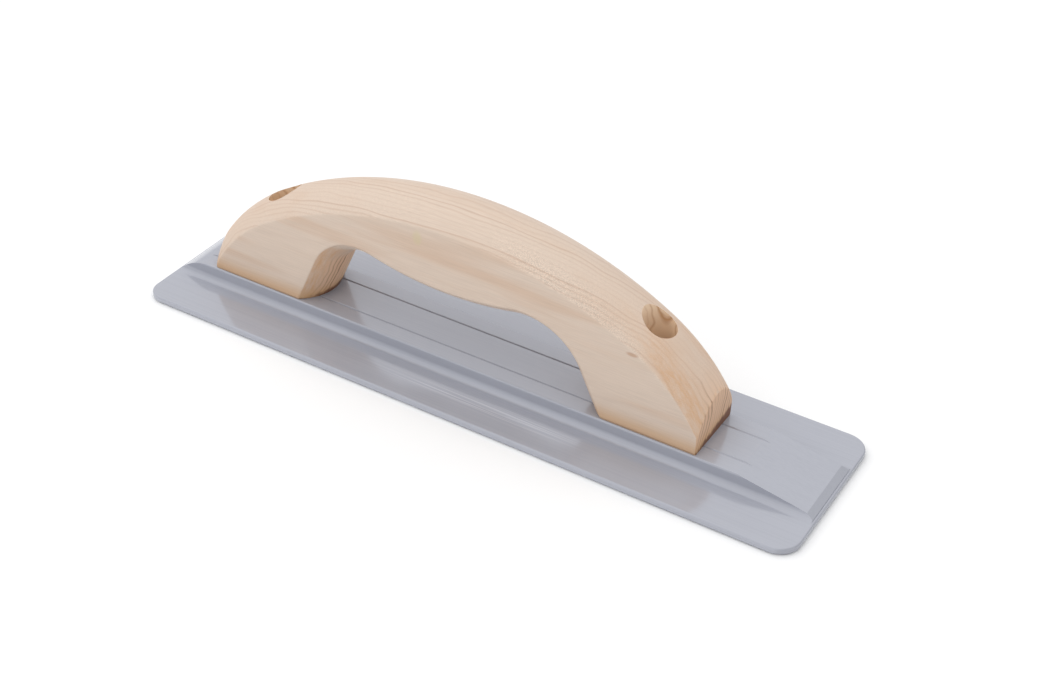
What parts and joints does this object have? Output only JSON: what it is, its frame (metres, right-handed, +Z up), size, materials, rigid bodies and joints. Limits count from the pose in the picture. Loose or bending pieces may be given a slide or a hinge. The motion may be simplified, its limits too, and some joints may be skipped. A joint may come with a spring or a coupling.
{
  "type": "magnesium hand float",
  "caption": "Concrete finishing float: a flat ribbed magnesium blade with rounded corners and a bow-shaped wooden handle with a finger gap, screwed down through both legs.",
  "frame": {"origin": "middle of the blade's flat bottom face, which is the working face", "axes": "+X along the blade towards its ramped front end, +Y across it, +Z up out of the working face towards the handle"},
  "size_m": [0.3048, 0.0794, 0.0758],
  "materials": {
    "magnesium": "satin extruded magnesium, fine lengthwise streaks",
    "softwood": "sanded pale softwood, thin clear coat",
    "zinc_steel": "bright zinc plate"
  },
  "bodies": {
    "root": {"blade": "magnesium", "handle": "softwood", "rear_screw": "zinc_steel", "rear_washer": "zinc_steel", "front_screw": "zinc_steel", "front_washer": "zinc_steel"}
  },
  "joints": []
}
